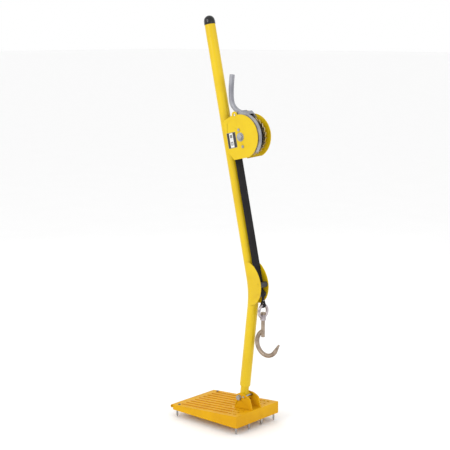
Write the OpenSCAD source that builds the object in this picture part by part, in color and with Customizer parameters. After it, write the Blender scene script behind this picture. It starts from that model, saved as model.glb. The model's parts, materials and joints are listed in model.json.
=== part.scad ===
// Manhole cover lifter: a foot plate on ground studs, a bent mast hinged to it, a ratchet
// lever winch with webbing, a guide head with two rollers, and a ring with an open hook.
// Millimetres. +X is the front, where the hook hangs, +Z is up. The origin is on the ground,
// under the middle of the whole lifter.

/* [Foot plate] */
// Width of the foot plate, across the lifter
plate_w = 270; // [240:1:320]
// Length of the foot plate, front to back
plate_l = 362; // [340:1:420]
// Height of the plate's top edge at the front
plate_front_z = 81; // [75:1:90]
// Height of the plate's top edge at the back
plate_back_z = 53; // [45:1:60]
// Height of the skirt's lower edge above the ground
skirt_z = 31; // [24:1:34]
// Thickness of the plate steel
plate_t = 4; // [3:0.5:5]
// Distance from the pivot to the plate's front edge
plate_front_x = 75.5; // [70:0.5:90]
// Diameter of a ground stud
stud_d = 8.5; // [6:0.5:10]
// Distance of the studs from the plate's edges
stud_inset = 14; // [12:1:20]
// Studs in the front row, and in the back row
stud_count = 4; // [4:1:6]

/* [Mast] */
// Outside diameter of the mast tube
tube_d = 44.5; // [42:0.5:48]
// Wall thickness of the mast tube
tube_t = 3; // [2:0.5:4]
// Height of the mast pivot above the ground
pivot_z = 122; // [116:1:130]
// Forward lean of the lower mast, in degrees
lean_low = 6.7; // [5:0.1:8]
// Backward lean of the upper mast, in degrees
lean_up = 12.7; // [11:0.1:14]
// Length from the pivot to the corner of the bend
low_l = 459; // [440:1:480]
// Length from the corner of the bend to the end of the tube
up_l = 1107; // [1050:1:1150]
// Radius of the bend, at the middle of the tube
bend_r = 360; // [300:10:400]
// Diameter of the pivot bolt
pivot_d = 16; // [14:1:18]

/* [Winch] */
// Distance of the drum axle from the corner of the bend, along the upper mast
axle_s = 629; // [600:1:660]
// Distance of the drum axle in front of the middle of the tube
axle_t = 100.5; // [98:0.5:104]
// Radius of the round front of a winch cheek
cheek_r = 90; // [88:0.5:92]
// Distance between the outer faces of the winch cheeks
cheek_span = 85; // [85:0.5:90]
// Thickness of the winch cheeks and of the guide cheeks
cheek_t = 4; // [3:0.5:4]
// Outside radius of the rim of the lever yoke
rim_r = 97; // [96:0.5:98]
// Radius of the ratchet wheels at the tips of their teeth
wheel_r = 79; // [76:0.5:80]
// Number of teeth on a ratchet wheel
tooth_count = 24; // [20:4:28]
// Radius of the wound webbing
roll_r = 63.5; // [58:0.5:64]
// Width of the webbing
strap_w = 44; // [40:1:44]
// Thickness of the webbing
strap_t = 3; // [2.5:0.5:3]
// Diameter of the drum axle
axle_d = 16; // [14:1:16]

/* [Guide head and hook] */
// Radius of the black front roller
front_roller_r = 12; // [12:0.5:14]
// Radius of the rear roller that the webbing hangs from
rear_roller_r = 11; // [10:0.5:12]
// Mean radius of the ring
ring_r = 25.5; // [24:0.5:27]
// Wire diameter of the ring
ring_wire = 12; // [10:0.5:12]
// Diameter of the hook's bar
hook_bar = 18; // [14:0.5:18]
// Mean radius of the hook's bend
hook_r = 52; // [45:1:54]

/* [Hidden] */
$fn = 64;
slip = 0.05;          // radial clearance of a running fit
gap = 0.1;            // gap between faces that only meet
heel_d = 14;          // heel tube along the plate's back edge
plate_back_x = plate_front_x - plate_l;
plate_slope = (plate_front_z - plate_back_z) / plate_l;
plate_angle = atan(plate_slope);
turn = lean_low + lean_up;
bend_cut = bend_r * tan(turn / 2);
corner_x = low_l * sin(lean_low);
corner_z = pivot_z + low_l * cos(lean_low);
tube_r = tube_d / 2;
cheek_y = cheek_span / 2 - cheek_t;     // inner face of a winch cheek
guide_y = tube_r + gap;                 // inner face of a guide cheek
yoke_y = cheek_y - 2.5;                 // outer face of a yoke side
yoke_t = 6;
wheel_y = strap_w / 2 + 1;              // inner face of a ratchet wheel
wheel_t = 5.5;
root_r = wheel_r - 6.5;
front_roller = [95.5, 613];             // middle of a roller: distance from the pivot, height
rear_roller = [89, 572];
hang_x = rear_roller[0] + rear_roller_r + strap_t / 2 + 0.2;
ring_z = 504;
ring_top = ring_z + ring_r;
ring_low = ring_z - ring_r;
swivel_low = ring_low - 12;
swivel_high = ring_low + 11;
swivel_r = 6.5;                         // radius of the hook's neck
swivel_boss_r = 11.5;
head_r = 10.8;
head_h = 10;
hook_x = 123;                           // middle of the hook's bend
hook_z = 373;
shank_low = 396;
bend_start = 112;
bend_end = 328;
point_l = 34;
point_r = 4;
point_x = hook_x + hook_r * cos(bend_end) - point_l * sin(bend_end);
tip_x = point_x + point_r;
origin_x = (tip_x + plate_back_x - heel_d - 2 * gap) / 2;
ear_y = 24;                             // inner face of a pivot ear
ear_t = 6;
barrel_r = 18;
neck_r = 17.5;

// ---- helpers ----

// The lifter's own frame is measured from the pivot; this puts it over the origin.
module placed() translate([-origin_x, 0, 0]) children();

// Frame of the upper mast: Z runs up the tube from the corner of the bend, X points forward.
module upper() placed() translate([corner_x, 0, corner_z]) rotate([0, -lean_up, 0]) children();

// Frame of the lower mast: Z runs up the tube from the pivot.
module lower() placed() translate([0, 0, pivot_z]) rotate([0, lean_low, 0]) children();

// Frame of the winch: its origin is the middle of the drum axle.
module winch() upper() translate([axle_t, 0, axle_s]) children();

// Frame of the hinge pivot.
module pivot() placed() translate([0, 0, pivot_z]) children();

// A shape in the XZ plane, made into a plate from y0 to y1.
module side_plate(y0, y1) translate([0, y1, 0]) rotate([90, 0, 0]) linear_extrude(y1 - y0) children();

// A rod along Y from y0 to y1.
module rod(r, y0, y1) translate([0, y1, 0]) rotate([90, 0, 0]) cylinder(r = r, h = y1 - y0);

// A tube along Y from y0 to y1.
module pipe(r, bore, y0, y1) difference() {
    rod(r, y0, y1);
    rod(bore, y0 - 1, y1 + 1);
}

// A hexagonal nut or bolt head along Y, across_flats wide.
module hex(across_flats, y0, y1) translate([0, y1, 0]) rotate([90, 0, 0])
    cylinder(d = across_flats / cos(30), h = y1 - y0, $fn = 6);

// A pie slice of a circle, from angle a0 to a1.
module slice(r, a0, a1) intersection() {
    circle(r, $fn = 128);
    polygon(concat([[0, 0]], [for (i = [0:8]) let (a = a0 + (a1 - a0) * i / 8) 2 * r * [cos(a), sin(a)]]));
}

// Both sides of the lifter.
module both() {
    children();
    mirror([0, 1, 0]) children();
}

// A line of points with a constant distance on both sides, closed into an outline.
function side_of(p, i, w) = let (
    a = p[max(i - 1, 0)], b = p[min(i + 1, len(p) - 1)],
    d = (b - a) / norm(b - a)) p[i] + w * [-d[1], d[0]];
function band(p, w) = concat(
    [for (i = [0:len(p) - 1]) side_of(p, i, w)],
    [for (i = [len(p) - 1:-1:0]) side_of(p, i, -w)]);

// A smooth curve through points: n steps between each pair.
function spline_at(a, b, c, d, t) = 0.5 * (2 * b + (c - a) * t + (2 * a - 5 * b + 4 * c - d) * t * t
    + (3 * b - a - 3 * c + d) * t * t * t);
function smooth(p, n) = concat([for (i = [0:len(p) - 2], j = [0:n - 1])
    spline_at(p[max(i - 1, 0)], p[i], p[i + 1], p[min(i + 2, len(p) - 1)], j / n)], [p[len(p) - 1]]);

// Height of the foot plate's top face at a distance x from the pivot.
function top_z(x) = plate_front_z - (plate_front_x - x) * plate_slope;

// ---- foot plate ----

module tray_outline(inset, low) polygon([
    [plate_back_x + inset, low], [plate_front_x - inset, low],
    [plate_front_x - inset, top_z(plate_front_x - inset) - inset],
    [plate_back_x + inset, top_z(plate_back_x + inset) - inset]]);

stud_front_x = plate_front_x - stud_inset;
stud_back_x = plate_back_x + stud_inset - 1.5;
stud_y = plate_w / 2 - stud_inset;

// The places of the studs, front row first.
module at_studs() for (x = [stud_front_x, stud_back_x], i = [0:stud_count - 1])
    translate([x, -stud_y + i * 2 * stud_y / (stud_count - 1), 0]) let ($top = top_z(x)) children();

// Drain slots beside the pivot ears, and a narrow one along each ear's foot.
slot_l = 16;
slot_w = 7;
ear_slot_w = 3;
module foot_slots() both() {
    for (y = [54, 81, 108], x = [18, 42])
        translate([x - slot_l / 2, y - slot_w / 2, 0]) cube([slot_l, slot_w, plate_front_z + 10]);
    translate([-24, ear_y + ear_t + 1.2, 0]) cube([74, ear_slot_w, plate_front_z + 10]);
}
module foot_plate() color("gold") placed() difference() {
    side_plate(-plate_w / 2, plate_w / 2) tray_outline(0, skirt_z);
    side_plate(-plate_w / 2 + plate_t, plate_w / 2 - plate_t) tray_outline(plate_t, skirt_z - 1);
    at_studs() cylinder(d = thread_d + 0.1, h = $top - 1.5);
    at_heel_screws() cylinder(d = 6.1, h = plate_front_z + 10);
    foot_slots();
}

module heel_tube() color("gold") placed()
    translate([plate_back_x - heel_d / 2 - gap, 0, plate_back_z - heel_d / 2 - 1])
        pipe(heel_d / 2, heel_d / 2 - 2, -plate_w / 2, plate_w / 2);

// Raised ribs on the top face, shorter beside the pivot ears.
rib_pitch = 27;
rib_r = 3;
rib_back_x = plate_back_x + 30;
function rib_front_x(y) = abs(y) < 45 ? -45 : 4;
module tread_ribs() color("goldenrod") placed() for (i = [-4:4]) let (
    y = i * rib_pitch, x0 = rib_back_x, x1 = rib_front_x(y))
    translate([x0, y, top_z(x0) + 0.05]) rotate([0, -plate_angle, 0]) intersection() {
        rotate([0, 90, 0]) cylinder(r = rib_r, h = x1 - x0, $fn = 32);
        translate([0, -rib_r, 0]) cube([x1 - x0, 2 * rib_r, rib_r]);
    }

// A stud has a thinner threaded end that screws up into the plate, and a nut that locks it.
nut_af = 14;
nut_h = 7;
nut_lift = nut_af * plate_slope;
thread_d = stud_d - 0.5;
module ground_studs() color("dimgray") placed() at_studs() let (
    thread_low = $top - plate_t - nut_h - nut_lift - 1) {
    translate([0, 0, thread_low]) cylinder(d = thread_d, h = $top - 1.8 - thread_low);
    translate([0, 0, 6]) cylinder(d = stud_d, h = thread_low - 6);
    cylinder(d1 = 3, d2 = stud_d, h = 6);
}
module stud_nuts() color("silver") placed() at_studs()
    translate([0, 0, $top - plate_t - nut_h - nut_lift / 2 - 0.2]) difference() {
        cylinder(d = nut_af / cos(30), h = nut_h, $fn = 6);
        translate([0, 0, -1]) cylinder(d = thread_d + 0.06, h = nut_h + 2);
    }

// Two screws near the plate's back corners.
heel_screw_x = plate_back_x + 26;
module at_heel_screws() for (y = [-stud_y, stud_y]) translate([heel_screw_x, y, 0]) children();
module heel_screws() color("black") placed() at_heel_screws() {
    translate([0, 0, top_z(heel_screw_x) + 0.5]) cylinder(r = 5, h = 2.6);
    translate([0, 0, top_z(heel_screw_x) - 12]) cylinder(r = 3, h = 13);
}

// ---- pivot ----

module ear_outline() {
    polygon([[-28, top_z(-28) + 0.1 - pivot_z], [69, top_z(69) + 0.1 - pivot_z],
        [57, 2], [47, 9], [28, 16], [5, barrel_r], [0, barrel_r], [-barrel_r, 0]]);
    circle(barrel_r);
}
stop_r = 4;
stop_at = [23.2, 7];
module pivot_ear() pivot() difference() {
    side_plate(-ear_y - ear_t, -ear_y) ear_outline();
    rod(pivot_d / 2, -ear_y - ear_t - 1, -ear_y + 1);
    translate([stop_at[0], 0, stop_at[1]]) rod(stop_r, -ear_y - ear_t - 1, 0);
}
module pivot_ear_right() color("orange") pivot_ear();
module pivot_ear_left() color("orange") mirror([0, 1, 0]) pivot_ear();

// The mast's neck leans on this pin.
module stop_pin() color("silver") pivot() translate([stop_at[0], 0, stop_at[1]])
    rod(stop_r - 0.02, -ear_y - ear_t - 1.5, ear_y + ear_t + 1.5);

bolt_head = 19;
module pivot_bolt() color("silver") pivot() {
    rod(pivot_d / 2 - 0.02, -ear_y - ear_t - 2, ear_y + ear_t + 12);
    hex(bolt_head, -ear_y - ear_t - 10, -ear_y - ear_t - 2);
}
module pivot_nut() color("silver") pivot() difference() {
    hex(bolt_head + 1, ear_y + ear_t + 2, ear_y + ear_t + 11);
    rod(pivot_d / 2, 0, 60);
}
module pivot_washers() color("lightgray") pivot() both()
    pipe(12, pivot_d / 2, ear_y + ear_t + 0.02, ear_y + ear_t + 1.98);

// ---- mast ----

// The mast tube: two straight lengths and the bend between them.
tube_low = 49;
spigot_l = 50;
module tube_section(swell = 0) difference() {
    circle(tube_r + swell);
    circle(tube_r - tube_t + swell);
}
module mast_tube() color("gold") {
    lower() translate([0, 0, tube_low]) linear_extrude(low_l - bend_cut - tube_low) tube_section();
    upper() translate([0, 0, bend_cut]) linear_extrude(up_l - bend_cut) tube_section();
    upper() translate([-bend_r, 0, bend_cut]) rotate([-90, 0, 0])
        rotate_extrude(angle = turn, $fn = 96) translate([bend_r, 0]) tube_section(0.15);
}

module mast_foot() color("gold") lower() difference() {
    union() {
        translate([0, 0, tube_low + 0.2]) cylinder(r = tube_r - tube_t, h = spigot_l);
        cylinder(r = neck_r, h = tube_low + 1);
        rod(barrel_r, -ear_y + 2, ear_y - 2);
    }
    rod(pivot_d / 2 + 2, -ear_y, ear_y);
}

module pivot_bushes() color("darkgoldenrod") lower() both() {
    pipe(pivot_d / 2 + 2, pivot_d / 2 + slip, 1, ear_y - 2);
    pipe(14, pivot_d / 2 + slip, ear_y - 1.95, ear_y - 0.3);
}

cap_r = tube_r + 0.8;
cap_h = 15;
module mast_cap() color("black") upper() translate([0, 0, up_l + gap]) {
    cylinder(r = cap_r, h = cap_h);
    translate([0, 0, cap_h]) intersection() {
        sphere(r = tube_r);
        translate([0, 0, -2]) cylinder(r = cap_r, h = cap_r + 2);
    }
    translate([0, 0, -20]) cylinder(r = tube_r - tube_t - 0.1, h = 21);
}

// ---- winch frame ----

// Outline of a winch cheek, around the axle: X forward, Y up the mast.
front_t = tube_r + gap - axle_t;         // where the cheek meets the front of the tube
lug = [-13.5, 91.5];
lug_hole_r = 5;
module cheek_outline() {
    intersection() {
        circle(cheek_r, $fn = 128);
        translate([-60, -86]) square([200, 200]);
    }
    polygon([[front_t, plate_low], [front_t + 25, -86], [10, -86], [10, 84], [0, lug[1]],
        [-27, lug[1]], [-34, 90], [front_t + 6, 78], [front_t, plate_high]]);
    translate(lug) circle(14);
}
cheek_screw_at = [[-3, 29], [4.6, -40]];
module winch_cheek() winch() difference() {
    side_plate(-cheek_y - cheek_t, -cheek_y) cheek_outline();
    rod(axle_d / 2, -50, 0);
    translate([lug[0], 0, lug[1]]) rod(lug_hole_r, -50, 0);
    for (p = cheek_screw_at) translate([p[0], 0, p[1]]) rod(2.5, -50, 0);
    holding_pawl_place() rod(4, -50, 0);
}
module winch_cheek_right() color("gold") winch_cheek();
module winch_cheek_left() color("gold") mirror([0, 1, 0]) winch_cheek();

// The back plate has a slot behind each ratchet wheel.
plate_low = -49;
plate_high = 72;
module winch_back_plate() color("gold") winch() difference() {
    translate([front_t, -cheek_y + 0.05, plate_low])
        cube([cheek_t, 2 * cheek_y - 0.1, plate_high - plate_low]);
    both() translate([front_t - 1, wheel_y - 0.6, -wheel_r / 2])
        cube([cheek_t + 2, wheel_t + 1.2, wheel_r]);
}

// Round-headed screws in the cheeks.
module cheek_screws() color("silver") winch() both() for (p = cheek_screw_at)
    translate([p[0], 0, p[1]]) {
        rod(6, cheek_y + cheek_t + 0.05, cheek_y + cheek_t + 1.8);
        rod(2.45, cheek_y + 0.1, cheek_y + cheek_t + 1);
    }

data_plate_at = [30, 591];              // its lower rear corner, in the frame of the upper mast
module data_plate() color("white") winch()
    translate([data_plate_at[0] - axle_t, -cheek_y - cheek_t - 0.65, data_plate_at[1] - axle_s])
        cube([47, 0.6, 63]);

axle_af = 24;
module axle_bolt() color("silver") winch() {
    rod(axle_d / 2 - 0.02, -cheek_y - cheek_t - 2, cheek_y + cheek_t + 11);
    hex(axle_af, -cheek_y - cheek_t - 8, -cheek_y - cheek_t - 2);
}
module axle_nut() color("silver") winch() difference() {
    hex(axle_af, cheek_y + cheek_t + 2, cheek_y + cheek_t + 10);
    rod(axle_d / 2, 0, 70);
}
module axle_washers() color("lightgray") winch() both() {
    pipe(18, axle_d / 2, cheek_y + cheek_t + 0.02, cheek_y + cheek_t + 1.98);
    pipe(16, axle_d / 2, yoke_y + 0.15, cheek_y - 0.05);
}

// ---- drum ----

hub_r = 20;
boss_r = 14;
bush_r = 11;
module drum_core() color("gray") winch() difference() {
    union() {
        rod(hub_r, -wheel_y + 0.02, wheel_y - 0.02);
        rod(boss_r, -wheel_y - wheel_t, wheel_y + wheel_t);
    }
    rod(bush_r, -50, 50);
}
module drum_bushes() color("darkgoldenrod") winch() both()
    pipe(bush_r, axle_d / 2 + slip, 2, wheel_y + wheel_t + 0.6);

// A ratchet wheel's outline. Each tooth has a sloping back and a steep face.
tooth = 360 / tooth_count;
wheel_phase = 3;
module wheel_outline() polygon([for (i = [0:tooth_count - 1], k = [0:1])
    let (a = wheel_phase + (i + k * 0.88) * tooth, r = k == 0 ? root_r : wheel_r)
    r * [cos(a), sin(a)]]);
module ratchet_wheel() winch() difference() {
    side_plate(-wheel_y - wheel_t, -wheel_y) wheel_outline();
    rod(boss_r + 0.03, -50, 0);
    for (i = [0:5]) rotate([0, 60 * i, 0]) translate([46, 0, 0]) rod(9, -50, 0);
}
module ratchet_wheel_right() color("dimgray") ratchet_wheel();
module ratchet_wheel_left() color("dimgray") mirror([0, 1, 0]) ratchet_wheel();

module webbing_roll() color("black") winch()
    pipe(roll_r, hub_r + 0.05, -strap_w / 2, strap_w / 2);

// ---- lever ----

sector_low = -50;     // the yoke's rim runs from below the front, over the top
sector_high = 100;
rim_t = 7;
rim_inner_y = 23;
bridge = [62, 98];    // angles of the bridge that joins the two sides
bridge_r = 102;
// What is cut from the bridge's front and from the left arm, so that they slope down to the front.
module bridge_front() polygon([[13, 108], [120, 108], [120, 60], [43.4, 60]]);
// The right side carries a guard rim over the ratchet; the left side is only an arm.
module yoke_right() {
    side_plate(-yoke_y, -yoke_y + yoke_t) difference() {
        union() {
            slice(rim_r, sector_low, sector_high);
            circle(24);
        }
        intersection() {
            slice(rim_r - 26, sector_low + 14, bridge[0] - 26);
            difference() {
                circle(rim_r);
                circle(34);
            }
        }
    }
    side_plate(-yoke_y + 1, -rim_inner_y) difference() {
        slice(rim_r - 0.6, sector_low + 0.5, sector_high - 0.5);
        circle(rim_r - rim_t, $fn = 128);
    }
}
module yoke_left() side_plate(yoke_y - yoke_t, yoke_y) {
    difference() {
        slice(rim_r, bridge[0], sector_high);
        bridge_front();
    }
    circle(24);
}
module lever_yoke() color("silver") winch() difference() {
    union() {
        yoke_right();
        yoke_left();
        side_plate(1 - yoke_y, yoke_y - 1) difference() {
            slice(bridge_r, bridge[0], bridge[1]);
            circle(rim_r - rim_t + 0.6, $fn = 128);
            bridge_front();
        }
    }
    rod(axle_d / 2 + slip, -50, 50);
    drive_pawl_place() rod(2.5, -50, 50);
}

// Middle line of the lever bar, from the bridge back and then up beside the mast.
lever_line = [[14, 99], [-8, 101], [-22, 106], [-40, 121], [-51.5, 147], [-46.5, 189],
    [-36.5, 225], [-25.5, 257]];
lever_w = 19;
lever_t = 15;
module lever_bar() color("silver") winch() difference() {
    side_plate(-lever_w / 2, lever_w / 2) polygon(band(smooth(lever_line, 6), lever_t / 2));
    rod(bridge_r + 0.05, -50, 50);
}

// ---- pawls ----

drive_pawl_at = [86, 84];              // angle and distance from the drum axle
holding_pawl_at = [130, 90];
// Frame of a pawl: its origin is on the pawl's own axis.
module on_circle(p) translate([p[1] * cos(p[0]), 0, p[1] * sin(p[0])]) children();
module drive_pawl_place() on_circle(drive_pawl_at) children();
module holding_pawl_place() on_circle(holding_pawl_at) children();
// A pawl: a sleeve across both wheels, and a finger on each. The finger is shaped as it lies in
// the teeth, reaching over the tooth before it, and then lifted clear of them.
lift = 10;
tooth_clear = 1.1;
module pawl(at, sleeve_r, bore_r, tip_a, back_w) let (
    pin = at[1] * [cos(at[0]), sin(at[0])],
    over = tip_a + 0.9 * tooth,
    finger = [[over, wheel_r + tooth_clear], [tip_a, root_r + 2], [tip_a, root_r + 2 + back_w],
        [over, wheel_r + tooth_clear + back_w]]) difference() {
    union() {
        on_circle(at) rod(sleeve_r, -wheel_y - wheel_t, wheel_y + wheel_t);
        both() side_plate(-wheel_y - wheel_t + 0.2, -wheel_y + 0.2)
            translate(pin) rotate(lift) translate(-pin) polygon(concat(
                [pin * (1 + 0.8 * sleeve_r / at[1]), pin * (1 - 0.7 * sleeve_r / at[1])],
                [for (p = finger) p[1] * [cos(p[0]), sin(p[0])]]));
    }
    on_circle(at) rod(bore_r, -50, 50);
}
function tooth_face(a) = wheel_phase + tooth * ceil((a - wheel_phase) / tooth);
drive_tip = tooth_face(55) + 1.2;
holding_tip = tooth_face(100) + 1.2;
module drive_pawl() color("dimgray") winch()
    pawl(drive_pawl_at, 4.4, 2.5 + slip, drive_tip, 3.5);
module holding_pawl() color("dimgray") winch()
    pawl(holding_pawl_at, 7, 4 + slip, holding_tip, 4);

module drive_pawl_pin() color("silver") winch() drive_pawl_place() rod(2.48, -yoke_y + 0.1, yoke_y - 0.1);
module holding_pawl_pin() color("gold") winch() holding_pawl_place()
    rod(3.98, -cheek_y - cheek_t, cheek_y + cheek_t);

// A wire coil along Y, from y0 to y1.
function ring_at(c, u, v, r, n) = [for (k = [0:n - 1])
    c + r * (cos(360 * k / n) * u + sin(360 * k / n) * v)];
module coil(mean_r, wire_r, turns, y0, y1) {
    steps = turns * 16;
    n = 6;
    rings = [for (i = [0:steps]) let (a = 360 * turns * i / steps, u = [cos(a), 0, sin(a)])
        each ring_at(mean_r * u + [0, y0 + (y1 - y0) * i / steps, 0], u, [0, 1, 0], wire_r, n)];
    faces = concat([[for (k = [0:n - 1]) k]],
        [for (i = [0:steps - 1], k = [0:n - 1]) [i * n + k, (i + 1) * n + k,
            (i + 1) * n + (k + 1) % n, i * n + (k + 1) % n]],
        [[for (k = [n - 1:-1:0]) steps * n + k]]);
    polyhedron(rings, faces);
}
module drive_pawl_spring() color("silver") winch() drive_pawl_place() coil(5.15, 0.4, 4, -2.5, 2.5);
module holding_pawl_spring() color("silver") winch() holding_pawl_place() coil(5.6, 0.8, 3, 30.5, 36.5);

// ---- guide head ----

// Front edge of a guide cheek, as distance from the pivot and height.
lens_line = [[55, 699], [74, 685], [93, 660], [105, 632], [109.5, 606], [107.8, 583],
    [102, 563], [91, 545], [74, 530]];
// Its back edge, behind the middle of the mast.
lens_back = [[50, 527], [48, 545], [50, 578], [44, 620], [32, 668], [28, 692], [41, 704]];
module guide_outline() polygon(concat(smooth(lens_line, 5), lens_back));
module at_roller(p) placed() translate([p[0], 0, p[1]]) children();
module guide_cheek() difference() {
    placed() side_plate(-guide_y - cheek_t, -guide_y) guide_outline();
    at_roller(front_roller) rod(4, -50, 0);
    at_roller(rear_roller) rod(4, -50, 0);
}
module guide_cheek_right() color("gold") guide_cheek();
module guide_cheek_left() color("gold") mirror([0, 1, 0]) guide_cheek();

module roller(p, r) at_roller(p) difference() {
    rod(r, -guide_y + 0.4, guide_y - 0.4);
    rod(4 + slip, -50, 50);
}
module front_roller() color("black") roller(front_roller, front_roller_r);
module rear_roller() color("dimgray") roller(rear_roller, rear_roller_r);
module roller_pins() color("gold") for (p = [front_roller, rear_roller]) at_roller(p)
    rod(3.98, -guide_y - cheek_t, guide_y + cheek_t);

// ---- webbing, ring and hook ----

// Where the webbing's middle line touches a circle of radius r around p, on the side of angle a.
function touch(p, r, a) = p + r * [cos(a), sin(a)];
function up_point(t, s) = [corner_x, corner_z] + t * [cos(lean_up), sin(lean_up)]
    + s * [-sin(lean_up), cos(lean_up)];
wrap_front = front_roller_r + strap_t / 2 + 0.2;
wrap_rear = rear_roller_r + strap_t / 2 + 0.2;
cross = let (d = front_roller - rear_roller) [atan2(d[1], d[0]), acos((wrap_front + wrap_rear) / norm(d))];
rear_touch = cross[0] - cross[1];
front_touch = rear_touch + 180;
wrap_start = 180 + lean_up;
drum_leave = up_point(axle_t - roll_r - strap_t / 2 - 0.2, axle_s);
run_line = concat(
    [drum_leave],
    [for (i = [0:4]) touch(front_roller, wrap_front, wrap_start + (front_touch - wrap_start) * i / 4)],
    [for (i = [0:5]) touch(rear_roller, wrap_rear, rear_touch * (1 - i / 5))]);
tail_w = 22;
taper_high = front_roller[1] + 9;
taper_low = front_roller[1] - 17;
// The webbing narrows to its sewn end between the two rollers.
module webbing_run() color("black") placed() intersection() {
    side_plate(-strap_w / 2, strap_w / 2) polygon(band(run_line, strap_t / 2 - 0.1));
    translate([400, 0, 0]) rotate([0, -90, 0]) linear_extrude(800) polygon([
        [0, -tail_w / 2], [taper_low, -tail_w / 2], [taper_high, -strap_w], [2000, -strap_w],
        [2000, strap_w], [taper_high, strap_w], [taper_low, tail_w / 2], [0, tail_w / 2]]);
}

loop_z = ring_top - 0.9;
loop_r = 7.8;
loop_high = 552;
tail_high = rear_roller[1] - 0.3;
loop_w = 13;
module webbing_tail() color("black") placed() translate([hang_x + strap_t / 2, 0, 0]) rotate([0, -90, 0])
    linear_extrude(strap_t) polygon([[loop_high + gap, -loop_w / 2], [tail_high, -tail_w / 2],
        [tail_high, tail_w / 2], [loop_high + gap, loop_w / 2]]);
module webbing_loop() color("black") placed()
    side_plate(-loop_w / 2, loop_w / 2) difference() {
        polygon(concat([[hang_x + 3, loop_high], [hang_x - 3, loop_high]], [for (i = [0:24])
            touch([hang_x, loop_z], loop_r + strap_t, 150 + 10 * i)]));
        translate([hang_x, loop_z]) circle(loop_r);
    }

// The ring's lower side is a boss that the hook's neck turns in.
module ring() color("silver") placed() translate([hang_x, 0, 0]) difference() {
    union() {
        translate([0, 0, ring_z]) rotate([0, 90, 0])
            rotate_extrude($fn = 96) translate([ring_r, 0]) circle(d = ring_wire, $fn = 32);
        translate([0, 0, swivel_low]) cylinder(r = swivel_boss_r, h = swivel_high - swivel_low);
    }
    translate([0, 0, swivel_low - 1]) cylinder(r = swivel_r + slip, h = swivel_high - swivel_low + 2);
}

// The hook: a button head inside the ring, a neck, a straight shank and a bend welded to its
// back, drawn to a point.
module hook() color("silver") placed() {
    translate([hang_x, 0, 0]) {
        translate([0, 0, swivel_high + 0.2]) cylinder(r1 = head_r, r2 = head_r - 2.5, h = head_h);
        translate([0, 0, swivel_low - 1]) cylinder(r = swivel_r, h = swivel_high - swivel_low + 3);
        translate([0, 0, shank_low]) cylinder(d = hook_bar - 2.5, h = swivel_low - 0.2 - shank_low);
    }
    translate([hook_x, 0, hook_z]) rotate([90, 0, 0]) {
        rotate([0, 0, bend_start]) rotate_extrude(angle = bend_end - bend_start, $fn = 96)
            translate([hook_r, 0]) circle(d = hook_bar, $fn = 32);
        rotate([0, 0, bend_end]) translate([hook_r, 0, 0]) rotate([-90, 0, 0]) {
            cylinder(d1 = hook_bar - 0.3, r2 = point_r, h = point_l);
            translate([0, 0, point_l - 1]) sphere(r = point_r + 0.5);
        }
    }
}

foot_plate();
heel_tube();
tread_ribs();
ground_studs();
stud_nuts();
heel_screws();
pivot_ear_right();
pivot_ear_left();
stop_pin();
pivot_bolt();
pivot_nut();
pivot_washers();
mast_tube();
mast_foot();
pivot_bushes();
mast_cap();
winch_back_plate();
winch_cheek_right();
winch_cheek_left();
cheek_screws();
data_plate();
axle_bolt();
axle_nut();
axle_washers();
drum_core();
drum_bushes();
ratchet_wheel_right();
ratchet_wheel_left();
webbing_roll();
lever_yoke();
lever_bar();
drive_pawl_pin();
drive_pawl();
drive_pawl_spring();
holding_pawl_pin();
holding_pawl();
holding_pawl_spring();
guide_cheek_right();
guide_cheek_left();
front_roller();
rear_roller();
roller_pins();
webbing_run();
webbing_tail();
webbing_loop();
ring();
hook();
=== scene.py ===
"""Looks of the manhole cover lifter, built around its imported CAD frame. Metres, +Z up."""

import json
import math
import random

import bmesh
import bpy
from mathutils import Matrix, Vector


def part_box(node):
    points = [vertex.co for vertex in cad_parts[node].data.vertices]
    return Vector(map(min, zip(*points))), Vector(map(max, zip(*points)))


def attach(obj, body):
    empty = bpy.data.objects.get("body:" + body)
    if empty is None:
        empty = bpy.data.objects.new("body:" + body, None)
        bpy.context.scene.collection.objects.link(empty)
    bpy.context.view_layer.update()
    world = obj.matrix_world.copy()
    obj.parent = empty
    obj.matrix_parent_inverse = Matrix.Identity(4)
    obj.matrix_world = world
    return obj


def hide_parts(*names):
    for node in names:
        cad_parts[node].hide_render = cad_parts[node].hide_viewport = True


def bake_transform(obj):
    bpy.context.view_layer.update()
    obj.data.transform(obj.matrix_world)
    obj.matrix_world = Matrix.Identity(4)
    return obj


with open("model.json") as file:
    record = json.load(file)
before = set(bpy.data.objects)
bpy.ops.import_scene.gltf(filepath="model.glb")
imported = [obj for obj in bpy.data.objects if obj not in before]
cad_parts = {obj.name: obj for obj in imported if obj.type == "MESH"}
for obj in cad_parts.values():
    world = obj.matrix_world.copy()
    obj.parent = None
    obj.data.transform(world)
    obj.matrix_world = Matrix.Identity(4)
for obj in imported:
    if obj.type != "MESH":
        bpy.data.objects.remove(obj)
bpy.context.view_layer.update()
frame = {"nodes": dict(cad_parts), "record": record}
NODES = frame["nodes"]
random.seed(41)

# ---------------------------------------------------------------- shader maths

OBJECT_OUTPUT = 3
MIX_FACTOR, MIX_FIRST, MIX_SECOND, MIX_COLOUR = 0, 6, 7, 2


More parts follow.
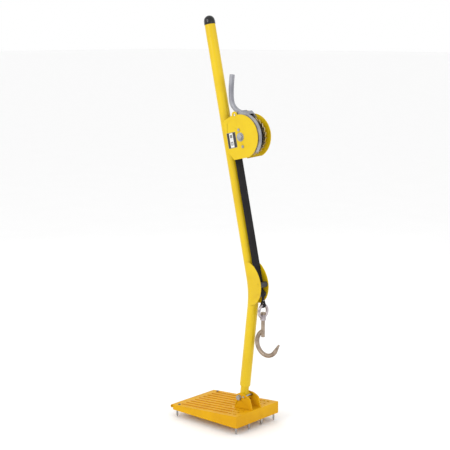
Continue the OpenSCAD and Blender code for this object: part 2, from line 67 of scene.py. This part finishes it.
class Wire:
    """A socket of a material's node tree. Arithmetic on it adds Math nodes."""

    def __init__(self, make, socket):
        self.make = make
        self.socket = socket

    def _math(self, operation, *values):
        return self.make.node("ShaderNodeMath", {"operation": operation}, list(values))

    def __add__(self, other):
        return self._math("ADD", self, other)

    def __radd__(self, other):
        return self._math("ADD", other, self)

    def __sub__(self, other):
        return self._math("SUBTRACT", self, other)

    def __rsub__(self, other):
        return self._math("SUBTRACT", other, self)

    def __mul__(self, other):
        return self._math("MULTIPLY", self, other)

    def __gt__(self, other):
        return self._math("GREATER_THAN", self, other)

    def __lt__(self, other):
        return self._math("LESS_THAN", self, other)

    def __abs__(self):
        return self._math("ABSOLUTE", self)

    def sine(self):
        return self._math("SINE", self)

    def ramp(self, low, high):
        """0 below low, 1 above high, smooth between."""
        settings = {"interpolation_type": "SMOOTHSTEP"}
        limits = {"Value": self, "From Min": low, "From Max": high}
        return self.make.node("ShaderNodeMapRange", settings, limits)


class Finish:
    """One material: makes nodes and joins them to a Principled shader."""

    def __init__(self, name, **fixed):
        self.material = bpy.data.materials.new(name)
        self.material.use_nodes = True
        self.tree = self.material.node_tree
        self.shader = self.tree.nodes["Principled BSDF"]
        for socket, value in fixed.items():
            self.shader.inputs[socket.replace("_", " ")].default_value = value

    def node(self, kind, settings=None, values=None, output=0):
        made = self.tree.nodes.new(kind)
        for key, value in (settings or {}).items():
            setattr(made, key, value)
        pairs = enumerate(values) if isinstance(values, list) else (values or {}).items()
        for key, value in pairs:
            self.join(value, made.inputs[key])
        return Wire(self, made.outputs[output])

    def join(self, value, socket):
        if isinstance(value, Wire):
            self.tree.links.new(value.socket, socket)
        elif isinstance(value, tuple) and socket.type == "RGBA" and len(value) == 3:
            socket.default_value = (*value, 1)
        else:
            socket.default_value = value

    def place(self):
        """The object's own coordinates, as one vector."""
        return self.node("ShaderNodeTexCoord", output=OBJECT_OUTPUT)

    def axes(self):
        """The object's own coordinates, as three numbers."""
        split = self.tree.nodes.new("ShaderNodeSeparateXYZ")
        self.tree.links.new(self.place().socket, split.inputs[0])
        return [Wire(self, output) for output in split.outputs]

    def noise(self, scale, detail=3.0, roughness=0.55, stretch=(1, 1, 1)):
        where = self.node("ShaderNodeMapping", None, {"Vector": self.place(), "Scale": stretch})
        values = {"Vector": where, "Scale": scale, "Detail": detail, "Roughness": roughness}
        return self.node("ShaderNodeTexNoise", None, values)

    def mix(self, factor, first, second):
        made = self.tree.nodes.new("ShaderNodeMix")
        made.data_type = "RGBA"
        self.join(factor, made.inputs[MIX_FACTOR])
        self.join(first, made.inputs[MIX_FIRST])
        self.join(second, made.inputs[MIX_SECOND])
        return Wire(self, made.outputs[MIX_COLOUR])

    def bump(self, height, strength, distance):
        values = {"Height": height, "Strength": strength, "Distance": distance}
        return self.node("ShaderNodeBump", None, values)

    def done(self, **links):
        for socket, value in links.items():
            self.join(value, self.shader.inputs[socket.replace("_", " ")])
        return self.material


# ------------------------------------------------------------------- finishes


def yellow_powder_coat(name, bright, deep, dusty=0.0, shine=0.3, base_rough=0.3):
    f = Finish(name, Coat_Roughness=0.22, Specular_IOR_Level=shine)
    cloud = f.noise(9, 4)
    orange_peel = f.noise(520, 2)
    scuffs = f.noise(70, 8, 0.75, stretch=(1, 1, 0.25)).ramp(0.63, 0.72)
    chips = f.noise(260, 5, 0.7).ramp(0.66, 0.7)
    grime = f.noise(24, 6, 0.65).ramp(0.56, 0.74)
    colour = f.mix(cloud.ramp(0.3, 0.7), bright, deep)
    colour = f.mix(grime * (0.16 + dusty), colour, (0.42, 0.25, 0.04))
    colour = f.mix(scuffs * 0.16, colour, (0.95, 0.72, 0.25))
    colour = f.mix(chips * 0.22, colour, (0.3, 0.2, 0.08))
    rough = base_rough + cloud * 0.1 + scuffs * 0.16 + grime * 0.2
    return f.done(Base_Color=colour, Roughness=rough, Coat_Weight=shine * 0.4 - grime * 0.03,
                  Normal=f.bump(orange_peel * 0.5 + chips * -0.6, 0.12, 0.0008))


def bright_metal(name, colour, shade, rough, grain=1.0):
    f = Finish(name)
    cloud = f.noise(38, 5, 0.6)
    brushed = f.noise(90, 6, 0.7, stretch=(1, 1, 14))
    pits = f.noise(900, 3, 0.6)
    stains = f.noise(55, 6, 0.7).ramp(0.55, 0.75)
    tone = f.mix(cloud.ramp(0.3, 0.75), colour, shade)
    tone = f.mix(stains * 0.3, tone, tuple(0.45 * part for part in shade))
    return f.done(Base_Color=tone, Metallic=1 - stains * 0.25,
                  Roughness=rough + brushed * 0.14 + stains * 0.22,
                  Normal=f.bump(brushed * 0.5 + pits * 0.5, 0.16 * grain, 0.0005))


def cast_aluminium():
    f = Finish("cast_aluminium")
    grit = f.noise(650, 4, 0.7)
    cloud = f.noise(26, 4)
    rubs = f.noise(60, 7, 0.7, stretch=(1, 1, 0.4)).ramp(0.6, 0.72)
    colour = f.mix(cloud.ramp(0.3, 0.7), (0.42, 0.425, 0.455), (0.29, 0.29, 0.325))
    colour = f.mix(rubs * 0.4, colour, (0.58, 0.58, 0.61))
    return f.done(Base_Color=colour, Metallic=0.86 + rubs * 0.1,
                  Roughness=0.47 + grit * 0.16 - rubs * 0.14,
                  Normal=f.bump(grit, 0.3, 0.0006))


def oiled_steel():
    f = Finish("oiled_steel")
    grit = f.noise(420, 5, 0.7)
    film = f.noise(35, 5, 0.6)
    colour = f.mix(film.ramp(0.35, 0.7), (0.12, 0.115, 0.11), (0.2, 0.17, 0.14))
    return f.done(Base_Color=colour, Metallic=0.85 - film * 0.1, Roughness=0.34 + film * 0.25,
                  Normal=f.bump(grit, 0.2, 0.0004))


def bearing_bronze():
    f = Finish("bearing_bronze", Metallic=0.95)
    film = f.noise(80, 5, 0.6)
    colour = f.mix(film.ramp(0.3, 0.7), (0.5, 0.31, 0.12), (0.3, 0.18, 0.07))
    return f.done(Base_Color=colour, Roughness=0.35 + film * 0.2, Normal=f.bump(film, 0.1, 0.0004))


def glossy_cap():
    f = Finish("glossy_cap", Coat_Roughness=0.06, Specular_IOR_Level=0.3)
    film = f.noise(30, 5, 0.6)
    scratches = f.noise(150, 8, 0.8, stretch=(1, 4, 0.3)).ramp(0.64, 0.72)
    colour = f.mix(film.ramp(0.3, 0.8), (0.006, 0.006, 0.007), (0.014, 0.0135, 0.014))
    return f.done(Base_Color=colour, Roughness=0.16 + film * 0.1 + scratches * 0.25,
                  Coat_Weight=0.22 - scratches * 0.1,
                  Normal=f.bump(scratches * -1, 0.1, 0.0003))


def matt_roller():
    f = Finish("matt_roller", Specular_IOR_Level=0.4)
    grain = f.noise(600, 3, 0.6)
    polish = f.noise(40, 3, stretch=(1, 0.2, 1)).ramp(0.4, 0.7)
    colour = f.mix(polish, (0.02, 0.02, 0.022), (0.045, 0.043, 0.043))
    return f.done(Base_Color=colour, Roughness=0.5 - polish * 0.14, Normal=f.bump(grain, 0.2, 0.0004))


WEBBING_WIDTH = 0.044
RIB_PITCH = 0.0022
PICK_PITCH = 0.0011


def polyester_webbing(name="polyester_webbing", along="z"):
    """Woven webbing: slanted stitches on each rib, and tighter edges."""
    f = Finish(name, Sheen_Weight=0.04, Sheen_Roughness=0.5, Specular_IOR_Level=0.12)
    x, y, z = f.axes()
    run = {"z": z, "x": x}[along]
    rib = (y * (math.pi / RIB_PITCH)).sine()
    pick = ((run + abs(rib) * 0.0006) * (math.pi / PICK_PITCH)).sine()
    weave = abs(rib) * 0.55 + abs(pick) * 0.45
    fuzz = f.noise(1400, 3, 0.7)
    fade = f.noise(22, 4, 0.6).ramp(0.35, 0.75)
    edge = abs(y).ramp(WEBBING_WIDTH / 2 - 0.0036, WEBBING_WIDTH / 2 - 0.0028)
    colour = f.mix(weave * 0.6 + fuzz * 0.3, (0.005, 0.0045, 0.0055), (0.022, 0.0195, 0.021))
    colour = f.mix(fade * 0.3, colour, (0.034, 0.029, 0.028))
    colour = f.mix(edge * 0.3, colour, (0.03, 0.028, 0.03))
    return f.done(Base_Color=colour, Roughness=0.72 + fuzz * 0.2 - weave * 0.08,
                  Normal=f.bump(weave + fuzz * 0.25, 0.55, 0.0006))


def printed_plate(axle, up, ahead):
    """Black plate with a plain white column and dark squares on it, no lettering."""
    f = Finish("printed_plate", Coat_Weight=0.3, Coat_Roughness=0.2)
    low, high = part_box("data_plate")
    middle = Vector(((low[0] + high[0]) / 2 - axle.x, 0, (low[2] + high[2]) / 2 - axle.z))
    x, y, z = f.axes()
    forward = (x - axle.x) * ahead.x + (z - axle.z) * ahead.z - middle.dot(ahead)
    tall = (x - axle.x) * up.x + (z - axle.z) * up.z - middle.dot(up)
    column_back = 0.001

    def patch(half_wide, half_tall, rise):
        """1 inside an upright rectangle on the column's middle line, 0 outside it."""
        return (abs(forward + column_back) < half_wide) * (abs(tall - rise) < half_tall)

    column = patch(0.0095, 0.029, rise=0.0)
    upper_square = patch(0.0062, 0.0068, rise=0.016)
    lower_square = patch(0.0062, 0.0075, rise=-0.013)
    core = patch(0.0032, 0.0042, rise=-0.013)
    stripe = patch(0.007, 0.0011, rise=0.003)
    edge = (abs(forward) > 0.0222) + (abs(tall) > 0.0302)
    rub = f.noise(160, 6, 0.7).ramp(0.6, 0.75)
    colour = f.mix(column, (0.02, 0.019, 0.02), (0.74, 0.73, 0.7))
    colour = f.mix((upper_square + lower_square) * 0.8, colour, (0.05, 0.05, 0.052))
    colour = f.mix(core + stripe * 0.7, colour, (0.5, 0.5, 0.49))
    colour = f.mix(edge * 0.5, colour, (0.5, 0.48, 0.42))
    colour = f.mix(rub * 0.22, colour, (0.5, 0.47, 0.4))
    return f.done(Base_Color=colour, Roughness=0.34 + rub * 0.3, Normal=f.bump(rub, 0.1, 0.0002))


def stitching_thread():
    f = Finish("stitching_thread", Sheen_Weight=0.3)
    twist = f.noise(2200, 2, stretch=(1, 1, 0.4))
    colour = f.mix(twist, (0.3, 0.29, 0.28), (0.46, 0.45, 0.44))
    return f.done(Base_Color=colour, Roughness=0.6 + twist * 0.2, Normal=f.bump(twist, 0.3, 0.0002))


MAST_YELLOW = yellow_powder_coat("mast_yellow", (0.72, 0.505, 0.003), (0.66, 0.44, 0.002))
FOOT_YELLOW = yellow_powder_coat("foot_yellow", (0.72, 0.39, 0.004), (0.64, 0.32, 0.003), dusty=0.1,
                                 shine=0.1, base_rough=0.46)
# Tread ribs: a darker orange than the foot plate, as painted shade for the plate's darker top. The
# extra grime is dirt.
RIB_ORANGE_PAINTED_SHADE = yellow_powder_coat("rib_orange_painted_shade", (0.6, 0.24, 0.004), (0.5, 0.19, 0.004), dusty=0.2,
                                shine=0.1, base_rough=0.46)
# Ratchet wheels: yellowish zinc, made lighter than the metal as painted light for the far wheel,
# which sits in shade inside the winch.
WHEEL_ZINC_PAINTED_LIGHT = bright_metal("wheel_zinc_painted_light", (0.78, 0.66, 0.4), (0.6, 0.5, 0.28), 0.34)
FASTENER_ZINC = bright_metal("fastener_zinc", (0.5, 0.5, 0.51), (0.28, 0.275, 0.27), 0.24)
HOOK_ZINC = bright_metal("hook_zinc", (0.42, 0.335, 0.265), (0.25, 0.19, 0.145), 0.36, grain=1.6)
RING_ZINC = bright_metal("ring_zinc", (0.56, 0.5, 0.52), (0.3, 0.26, 0.275), 0.22)
LEVER_METAL = cast_aluminium()
DARK_STEEL = oiled_steel()
BRONZE = bearing_bronze()
CAP_BLACK = glossy_cap()
ROLLER_BLACK = matt_roller()
WEBBING = polyester_webbing()
THREAD = stitching_thread()

# --------------------------------------------------------- places on the frame

JOINTS = {joint["name"]: joint for joint in frame["record"]["behaviour"]["joints"]}
PIVOT = Vector(JOINTS["mast_tilt"]["pos_m"])
AXLE = Vector(JOINTS["drum_turn"]["pos_m"])
FRONT_ROLLER = Vector(JOINTS["front_roller_turn"]["pos_m"])
REAR_ROLLER = Vector(JOINTS["rear_roller_turn"]["pos_m"])
RING_TOP = Vector(JOINTS["ring_swing"]["pos_m"])
LEAN_LOW = math.radians(6.7)
LEAN_UP = math.radians(12.7)
UP = Vector((-math.sin(LEAN_UP), 0, math.cos(LEAN_UP)))
AHEAD = Vector((math.cos(LEAN_UP), 0, math.sin(LEAN_UP)))
LOW_UP = Vector((math.sin(LEAN_LOW), 0, math.cos(LEAN_LOW)))
LOW_AHEAD = Vector((math.cos(LEAN_LOW), 0, -math.sin(LEAN_LOW)))
SIDE = Vector((0, 1, 0))
TUBE_R = 0.02225
TUBE_END = 0.0489
NECK_WELD_R = 0.0184
AXLE_AHEAD = 0.1005
CHEEK_INNER = 0.0385
STRAP_W = 0.0436
STRAP_T = 0.0028
TAIL_W = 0.0218
LOOP_W = 0.0128
ROLL_R = 0.0635
STITCH_L = 0.0026
STITCH_R = 0.0005
PLATE = printed_plate(AXLE, UP, AHEAD)


def winch_point(ahead, up, side=0.0):
    """A point in the winch's own directions, measured in metres from the drum axle."""
    return AXLE + AHEAD * ahead + UP * up + SIDE * side


# -------------------------------------------------------------- mesh making


def piece(name, mesh_data, material, body):
    """Puts a finished mesh in the scene, on the body that carries it."""
    made = bpy.data.objects.new(name, mesh_data)
    bpy.context.collection.objects.link(made)
    mesh_data.materials.append(material)
    for face in mesh_data.polygons:
        face.use_smooth = True
    if body:
        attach(made, body)
    return made


def loft(name, rings, closed_loop=False):
    """A skin over rings that all have the same count of points, shut at both ends or joined up."""
    mesh = bmesh.new()
    rows = [[mesh.verts.new(point) for point in ring] for ring in rings]
    pairs = list(zip(rows, rows[1:]))
    if closed_loop:
        pairs.append((rows[-1], rows[0]))
    for first, second in pairs:
        count = len(first)
        for i in range(count):
            j = (i + 1) % count
            mesh.faces.new((first[i], first[j], second[j], second[i]))
    if not closed_loop:
        mesh.faces.new(rows[0][::-1])
        mesh.faces.new(rows[-1])
    bmesh.ops.recalc_face_normals(mesh, faces=mesh.faces)
    data = bpy.data.meshes.new(name)
    mesh.to_mesh(data)
    mesh.free()
    return data


def curve_points(corners, steps):
    """A smooth line through the corners."""
    line = []
    last = len(corners) - 1
    for i in range(last):
        a, b = corners[max(i - 1, 0)], corners[i]
        c, d = corners[i + 1], corners[min(i + 2, last)]
        for k in range(steps):
            t = k / steps
            line.append(0.5 * (2 * b + (c - a) * t + (2 * a - 5 * b + 4 * c - d) * t * t
                               + (3 * b - a - 3 * c + d) * t * t * t))
    return line + [corners[-1]]


def headings(line):
    last = len(line) - 1
    return [(line[min(i + 1, last)] - line[max(i - 1, 0)]).normalized() for i in range(last + 1)]


def rounded_bar(line, half_wide, half_thick, corner, steps):
    """Rings of a bar with rounded corners that follows a line in the lifter's middle plane."""
    rings = []
    for index, (centre, ahead) in enumerate(zip(line, headings(line))):
        out = SIDE.cross(ahead)
        wide = half_wide[index]
        thick = half_thick[index]
        ring = []
        for quarter in range(4):
            for k in range(steps + 1):
                angle = math.pi / 2 * (quarter + k / steps)
                turned = Vector((math.cos(angle), math.sin(angle)))
                sign_a = 1 if quarter in (0, 3) else -1
                sign_b = 1 if quarter in (0, 1) else -1
                across = sign_a * (wide - corner) + corner * turned.x
                through = sign_b * (thick - corner) + corner * turned.y
                ring.append(centre + SIDE * across + out * through)
        rings.append(ring)
    return rings


def webbing_section(width, thickness):
    """Points round a cut through woven webbing: round selvedges and faintly ribbed faces."""
    points = []
    ribs = 20
    for side in (1, -1):
        for k in range(ribs + 1):
            across = side * (0.5 - k / ribs) * (width - thickness)
            swell = 0.5 + 0.035 * math.cos(2 * math.pi * k / 2)
            points.append((across, side * thickness * swell))
        for k in range(1, 6):
            angle = math.pi / 2 - math.pi * k / 6
            points.append((-side * ((width - thickness) / 2 + thickness * 0.55 * math.cos(angle)),
                           side * thickness * 0.55 * math.sin(angle)))
    return points


def webbing(name, line, widths, body):
    """A length of webbing along a line in the lifter's middle plane, with a width for each point."""
    rings = []
    for width, centre, ahead in zip(widths, line, headings(line)):
        out = SIDE.cross(ahead)
        rings.append([centre + SIDE * across + out * through
                      for across, through in webbing_section(width, STRAP_T)])
    return piece(name, loft(name, rings), WEBBING, body)


def thread_run(name, centres, ahead, out, body):
    """Rows of single stitches lying on the webbing, joined as one piece."""
    mesh = bmesh.new()
    for centre in centres:
        rows = []
        for k in range(7):
            t = k / 6
            rise = math.sin(math.pi * t)
            middle = centre + ahead * (STITCH_L * (t - 0.5)) + out * (STITCH_R * (rise - 0.35))
            spokes = [2 * math.pi * n / 6 for n in range(6)]
            rows.append([mesh.verts.new(middle + (SIDE * math.cos(a) + out * math.sin(a)) * STITCH_R)
                         for a in spokes])
        for first, second in zip(rows, rows[1:]):
            for n in range(6):
                mesh.faces.new((first[n], first[(n + 1) % 6], second[(n + 1) % 6], second[n]))
        mesh.faces.new(rows[0][::-1])
        mesh.faces.new(rows[-1])
    bmesh.ops.recalc_face_normals(mesh, faces=mesh.faces)
    data = bpy.data.meshes.new(name)
    mesh.to_mesh(data)
    mesh.free()
    return piece(name, data, THREAD, body)


def weld_bead(name, line, radius, body, material, closed=False):
    """A rippled weld along a line of points."""
    rings = []
    spots = len(line)
    for index, (centre, ahead) in enumerate(zip(line, headings(line))):
        first = ahead.orthogonal().normalized()
        second = ahead.cross(first)
        bulge = radius * (1 + 0.14 * math.sin(index * 1.9) + random.uniform(-0.05, 0.05))
        if not closed and index in (0, spots - 1):
            bulge *= 0.35
        rings.append([centre + first * (bulge * math.cos(a)) + second * (bulge * math.sin(a))
                      for a in (2 * math.pi * n / 8 for n in range(8))])
    return piece(name, loft(name, rings, closed_loop=closed), material, body)


def straight(start, end, count):
    return [start.lerp(end, i / (count - 1)) for i in range(count)]


# ---------------------------------------------- finishes for the frame's own nodes


def dress(node, material, round_edge=0.0):
    """Gives a frame node its finish and soft, welded edges."""
    thing = NODES[node]
    thing.data.materials.clear()
    thing.data.materials.append(material)
    if round_edge:
        weld = thing.modifiers.new("weld_seams", "WELD")
        weld.merge_threshold = 0.00002
        edge = thing.modifiers.new("round_edges", "BEVEL")
        edge.width = round_edge
        edge.segments = 2
        edge.limit_method = "ANGLE"
        edge.angle_limit = math.radians(38)
        edge.harden_normals = True


for node, round_edge in {"foot_plate": 0.0016, "pivot_ear_right": 0.001, "pivot_ear_left": 0.001,
                         "heel_tube": 0.0004}.items():
    dress(node, FOOT_YELLOW, round_edge)
dress("tread_ribs", RIB_ORANGE_PAINTED_SHADE, 0.0003)
for node, round_edge in {"mast_tube": 0.0, "mast_foot": 0.0008, "winch_back_plate": 0.0006,
                         "winch_cheek_right": 0.0008, "winch_cheek_left": 0.0008,
                         "guide_cheek_right": 0.0008, "guide_cheek_left": 0.0008,
                         "holding_pawl_pin": 0.0003, "roller_pins": 0.0003}.items():
    dress(node, MAST_YELLOW, round_edge)
for node in ("ground_studs", "stud_nuts", "stop_pin", "pivot_bolt", "pivot_nut", "pivot_washers",
             "axle_bolt", "axle_nut", "axle_washers", "cheek_screws", "drive_pawl_pin"):
    dress(node, FASTENER_ZINC, 0.0004)
for node in ("drive_pawl_spring", "holding_pawl_spring"):
    dress(node, FASTENER_ZINC)
for node in ("pivot_bushes", "drum_bushes"):
    dress(node, BRONZE, 0.0003)
for node in ("drive_pawl", "holding_pawl", "rear_roller", "heel_screws"):
    dress(node, DARK_STEEL, 0.0004)
for node in ("ratchet_wheel_right", "ratchet_wheel_left"):
    dress(node, WHEEL_ZINC_PAINTED_LIGHT, 0.0004)
dress("drum_core", LEVER_METAL, 0.0004)
dress("lever_yoke", LEVER_METAL, 0.0009)
dress("front_roller", ROLLER_BLACK, 0.0008)
dress("mast_cap", CAP_BLACK, 0.0004)
dress("data_plate", PLATE, 0.0001)
dress("ring", RING_ZINC)
dress("hook", HOOK_ZINC)

# ------------------------------------------------------------------- webbing

ROLLER_GAP = STRAP_T / 2 + 0.0003
FRONT_ROLLER_R = 0.012
REAR_ROLLER_R = 0.011
FRONT_WRAP = FRONT_ROLLER_R + ROLLER_GAP
REAR_WRAP = REAR_ROLLER_R + ROLLER_GAP


def around(centre, radius, start, end, count):
    angles = [math.radians(start + (end - start) * i / (count - 1)) for i in range(count)]
    return [centre + Vector((math.cos(a), 0, math.sin(a))) * radius for a in angles]


def webbing_route():
    """From the drum down the mast, behind the front roller and down the front of the rear one."""
    between = FRONT_ROLLER - REAR_ROLLER
    lean = math.degrees(math.atan2(between.z, between.x))
    crossing = lean - math.degrees(math.acos((FRONT_WRAP + REAR_WRAP) / between.length))
    leave = winch_point(-ROLL_R - ROLLER_GAP, 0)
    front = around(FRONT_ROLLER, FRONT_WRAP, 180 + math.degrees(LEAN_UP), crossing + 180, 8)
    rear = around(REAR_ROLLER, REAR_WRAP, crossing, 0, 10)
    return straight(leave, front[0], 90)[:-1] + front + straight(front[-1], rear[0], 8)[1:-1] + rear


TAPER_HIGH = FRONT_ROLLER.z + 0.009
TAPER_LOW = FRONT_ROLLER.z - 0.017


def webbing_width(point):
    """Full width down to the front roller, then narrowing to the sewn end."""
    share = min(1, max(0, (point.z - TAPER_LOW) / (TAPER_HIGH - TAPER_LOW)))
    return TAIL_W + (STRAP_W - TAIL_W) * share


route = webbing_route()
run = webbing("webbing_down_mast", route, [webbing_width(point) for point in route], "mast")
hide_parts("webbing_run")

TAIL_TOP = route[-1]
LOOP_LOW = RING_TOP + Vector((0, 0, -0.0009))
LOOP_R = 0.0078 + STRAP_T / 2
JOIN_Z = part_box("webbing_loop")[1][2]
LOOP_START, LOOP_END = 152, 388
TAIL_SPOTS = 16


def tail_line():
    return straight(TAIL_TOP, Vector((TAIL_TOP.x, 0, JOIN_Z)), TAIL_SPOTS)


tail_widths = [TAIL_W + (LOOP_W - TAIL_W) * i / (TAIL_SPOTS - 1) for i in range(TAIL_SPOTS)]
tail = webbing("webbing_tail_piece", tail_line(), tail_widths, None)
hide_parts("webbing_tail")
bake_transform(tail)


def loop_line():
    """Down one side, round the ring's wire and up the other side."""
    top = Vector((TAIL_TOP.x, 0, JOIN_Z))
    sweep = around(LOOP_LOW, LOOP_R, LOOP_START, LOOP_END, 22)
    start = top + Vector((-STRAP_T * 0.5, 0, 0))
    end = top + Vector((STRAP_T * 0.5, 0, 0))
    return straight(start, sweep[0], 8)[:-1] + sweep + straight(sweep[-1], end, 8)[1:]


loop_path = loop_line()
loop_piece = webbing("webbing_end_loop", loop_path, [LOOP_W] * len(loop_path), "strap_end")
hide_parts("webbing_loop")
for face_side in (1, -1):
    out = Vector((face_side, 0, 0))
    spots = []
    for row in range(5):
        lift = STRAP_T * 1.02 + 0.0006 + row * 0.0005
        for column in range(-4, 5):
            spots.append(Vector((TAIL_TOP.x + face_side * lift, column * 0.00135,
                                 JOIN_Z - 0.0024 - row * 0.0027)))
    thread_run("loop_stitches_front" if face_side > 0 else "loop_stitches_back", spots,
               Vector((0, 0, 1)), out, "strap_end")


def wound_roll():
    """Coiled webbing: each layer stands as a ridge on both sides, and the outer end makes a step."""
    layers = 15
    inner = 0.0201
    half_wide = 0.0206
    ridge = 0.0011
    outline = []
    for side in (1, -1):
        order = range(layers) if side > 0 else range(layers - 1, -1, -1)
        pitch = (ROLL_R - 0.0004 - inner) / layers
        for layer in order:
            for k in range(6):
                t = k / 5 if side > 0 else 1 - k / 5
                bulge = math.sin(math.pi * t) ** 0.5 * ridge
                jitter = 0.0005 * math.sin(layer * 2.7 + side)
                outline.append((inner + pitch * (layer + t), side * (half_wide + jitter + bulge)))
    spots = 144
    rings = []
    for i in range(spots):
        angle = 2 * math.pi * i / spots
        swell = 0.0008 * (i / spots) - 0.0006
        ring = []
        for radius, across in outline:
            grown = radius + (swell if radius > ROLL_R - 0.003 else 0)
            spoke = AHEAD * math.cos(angle) + UP * math.sin(angle)
            ring.append(AXLE + spoke * grown + SIDE * across)
        rings.append(ring)
    return loft("wound_webbing", rings, closed_loop=True)


ROLL_WEBBING = polyester_webbing("rolled_webbing", along="x")
roll = piece("wound_webbing", wound_roll(), ROLL_WEBBING, "drum")
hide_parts("webbing_roll")

# --------------------------------------------------------------------- lever

# How far ahead of the drum axle and above it the middle of the handle runs, from its foot up.
LEVER_CORNERS = [(0.014, 0.099), (-0.008, 0.101), (-0.022, 0.106), (-0.040, 0.121),
                 (-0.0515, 0.147), (-0.0465, 0.189), (-0.0365, 0.225), (-0.0257, 0.2565)]
FOOT_HALF_WIDE, GROWS_WIDE = 0.0082, 0.0012
FOOT_HALF_THICK, GROWS_THICK = 0.0056, 0.0018
HOLLOW_DEEP = 0.016


def lever_handle():
    """Forged bar that stands up from the bridge, with a hollow open end."""
    line = curve_points([winch_point(ahead, up) for ahead, up in LEVER_CORNERS], 8)
    count = len(line)
    wide = [FOOT_HALF_WIDE + GROWS_WIDE * min(1, i / (count * 0.4)) for i in range(count)]
    thick = [FOOT_HALF_THICK + GROWS_THICK * min(1, i / (count * 0.25)) for i in range(count)]
    rings = rounded_bar(line, wide, thick, corner=0.003, steps=5)
    middle = line[-1]
    ahead = headings(line)[-1]
    lip = [middle + (point - middle) * 0.82 + ahead * 0.0004 for point in rings[-1]]
    wall = [middle + (point - middle) * 0.72 - ahead * 0.0006 for point in rings[-1]]
    floor = [middle + (point - middle) * 0.68 - ahead * HOLLOW_DEEP for point in rings[-1]]
    return loft("lever_handle", rings + [lip, wall, floor])


handle = piece("lever_handle", lever_handle(), LEVER_METAL, "lever")
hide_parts("lever_bar")

# --------------------------------------------------------------------- welds

BACK_PLATE_FRONT = TUBE_R - AXLE_AHEAD + 0.0042
WINCH_WELD_LOW, WINCH_WELD_HIGH = -0.046, 0.069
PLATE_BACK_HEIGHT = 0.053
WINCH_BEAD, EAR_BEAD, NECK_BEAD = 0.0017, 0.0021, 0.0016

for side, word in ((-1, "right"), (1, "left")):
    cheek_y = side * (CHEEK_INNER - 0.0002)
    corner = straight(winch_point(BACK_PLATE_FRONT, WINCH_WELD_LOW, cheek_y),
                      winch_point(BACK_PLATE_FRONT, WINCH_WELD_HIGH, cheek_y), 64)
    weld_bead(f"winch_weld_{word}", corner, WINCH_BEAD, "mast", MAST_YELLOW)
    ear_low, ear_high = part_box(f"pivot_ear_{word}")
    plate_low, plate_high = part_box("foot_plate")
    slope = (plate_high[2] - PLATE_BACK_HEIGHT) / (plate_high[0] - plate_low[0])
    inner = ear_high[1] if side < 0 else ear_low[1]
    seam = [Vector((x, inner, plate_high[2] - (plate_high[0] - x) * slope))
            for x in (ear_low[0], ear_high[0])]
    weld_bead(f"ear_weld_{word}", straight(seam[0], seam[1], 60), EAR_BEAD, "foot", FOOT_YELLOW)
ring_line = []
for k in range(72):
    angle = 2 * math.pi * k / 72
    spoke = LOW_AHEAD * math.cos(angle) + SIDE * math.sin(angle)
    ring_line.append(PIVOT + LOW_UP * TUBE_END + spoke * NECK_WELD_R)
weld_bead("neck_weld", ring_line, NECK_BEAD, "mast", MAST_YELLOW, closed=True)

# ------------------------------------------------------------- studio and camera


CAMERA_AT = (3.03359, -3.4385, 1.6251)
CAMERA_AZIMUTH = math.radians(41.90)
CAMERA_DOWN = math.radians(9.68)
CAMERA_LENS = 90.22


def pale_floor():
    f = Finish("pale_floor", Specular_IOR_Level=0.2)
    tone = f.noise(3, 2)
    colour = f.mix(tone, (0.95, 0.95, 0.95), (0.97, 0.97, 0.97))
    material = f.done(Base_Color=colour, Roughness=0.8 + tone * 0.1)
    mesh = bmesh.new()
    bmesh.ops.create_grid(mesh, x_segments=8, y_segments=8, size=80)
    data = bpy.data.meshes.new("floor")
    mesh.to_mesh(data)
    mesh.free()
    data.materials.append(material)
    floor = bpy.data.objects.new("floor", data)
    bpy.context.collection.objects.link(floor)
    floor.location.z = -0.0005


def soft_light(name, place, target, size, power):
    lamp = bpy.data.lights.new(name, "AREA")
    lamp.energy = power
    lamp.size = size
    made = bpy.data.objects.new(name, lamp)
    bpy.context.collection.objects.link(made)
    made.location = place
    made.rotation_euler = (Vector(target) - Vector(place)).to_track_quat("-Z", "Y").to_euler()


def studio():
    pale_floor()
    world = bpy.data.worlds.new("white_room")
    bpy.context.scene.world = world
    world.use_nodes = True
    world.node_tree.nodes["Background"].inputs["Color"].default_value = (1, 1, 1, 1)
    world.node_tree.nodes["Background"].inputs["Strength"].default_value = 1.0
    soft_light("key", (-0.6, -3.8, 3.0), (0, 0, 0.8), 1.6, 50)
    soft_light("fill", (3.6, -0.6, 2.4), (0, 0, 0.8), 2.4, 16)
    soft_light("back", (-2.8, 1.8, 2.6), (0, 0, 0.9), 2.0, 12)


def front_camera():
    lens = bpy.data.cameras.new("view")
    lens.lens = CAMERA_LENS
    lens.sensor_width = 36
    made = bpy.data.objects.new("view", lens)
    bpy.context.collection.objects.link(made)
    made.location = CAMERA_AT
    made.rotation_euler = (math.pi / 2 - CAMERA_DOWN, 0, CAMERA_AZIMUTH)
    bpy.context.scene.camera = made


studio()
front_camera()
bpy.context.scene.view_settings.view_transform = "Standard"
